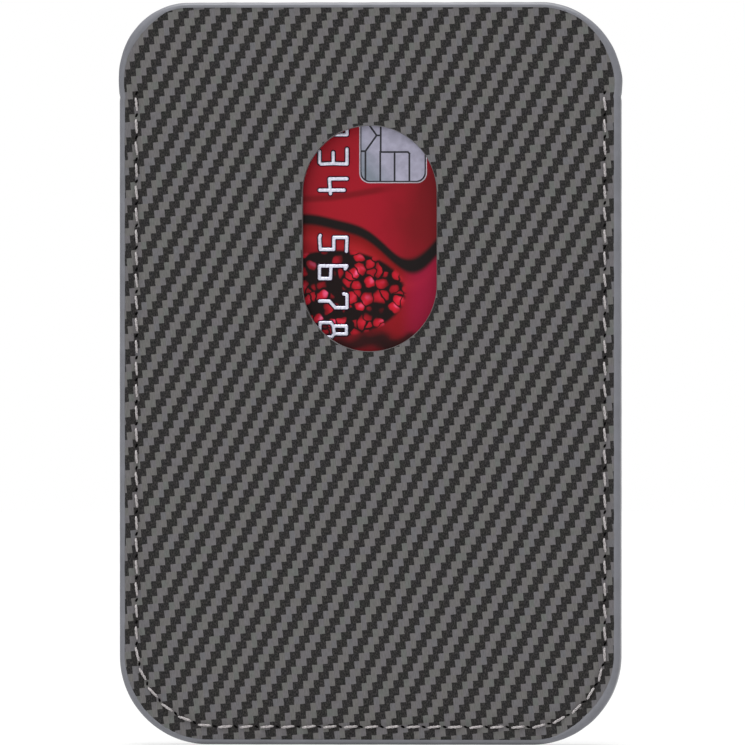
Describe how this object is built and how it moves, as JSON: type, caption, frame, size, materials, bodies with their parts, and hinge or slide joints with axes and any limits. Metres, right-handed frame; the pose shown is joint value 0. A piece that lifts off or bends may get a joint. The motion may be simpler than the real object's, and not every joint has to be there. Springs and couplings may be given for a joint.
{
  "type": "magnetic card wallet",
  "caption": "Slim stitched card sleeve with a thumb window in its front leaf, a bank card in its pocket and a magnet ring behind its back face.",
  "frame": {"origin": "middle of the magnet ring on the back face, straight behind the middle of the thumb window", "axes": "+Z to the pocket's mouth, +Y out of the back face towards the phone, -Y out of the front, +X to the right seen from the front"},
  "size_m": [0.0636, 0.0056, 0.094],
  "materials": {
    "woven_skin": "coated synthetic leather printed and embossed as a two-by-two twill in two greys",
    "edge_paint": "smooth satin edge paint",
    "window_paint": "thin mid-grey edge paint",
    "back_leather": "matt synthetic leather with a fine grain",
    "lining_cloth": "short-napped microfibre",
    "fibre_board": "pressed fibre board",
    "bonded_leather": "bonded leather strip",
    "shield_steel": "thin rolled steel",
    "magnet_nickel": "nickel-plated neodymium magnet",
    "film": "clear polyester film",
    "thread": "twisted polyester sewing thread, light grey",
    "card_plastic": "laminated printed plastic, red artwork",
    "chip_contacts": "silver-coloured contact plate",
    "stripe": "black magnetic stripe",
    "signature_panel": "matt writable strip"
  },
  "bodies": {
    "wallet": {"front_skin": "woven_skin", "front_stiffener": "fibre_board", "front_lining": "lining_cloth", "window_edge_coat": "window_paint", "front_mouth_coat": "edge_paint", "edge_spacer": "bonded_leather", "side_edge_coat": "edge_paint", "pocket_lining": "lining_cloth", "shield_plate": "shield_steel", "magnet_carrier": "fibre_board", "yoke_ring": "shield_steel", "yoke_bar": "shield_steel", "ring_magnets": "magnet_nickel", "alignment_magnets": "magnet_nickel", "magnet_film": "film", "back_skin": "back_leather", "back_mouth_coat": "edge_paint", "needle_thread": "thread", "bobbin_thread": "thread"},
    "card": {"card_body": "card_plastic", "card_chip": "chip_contacts", "card_stripe": "stripe", "card_signature_panel": "signature_panel"}
  },
  "joints": [
    {"name": "card_slide", "type": "slide", "parent": "wallet", "child": "card", "axis": [0, 0, 1], "range_m": [0, 0.095]}
  ]
}
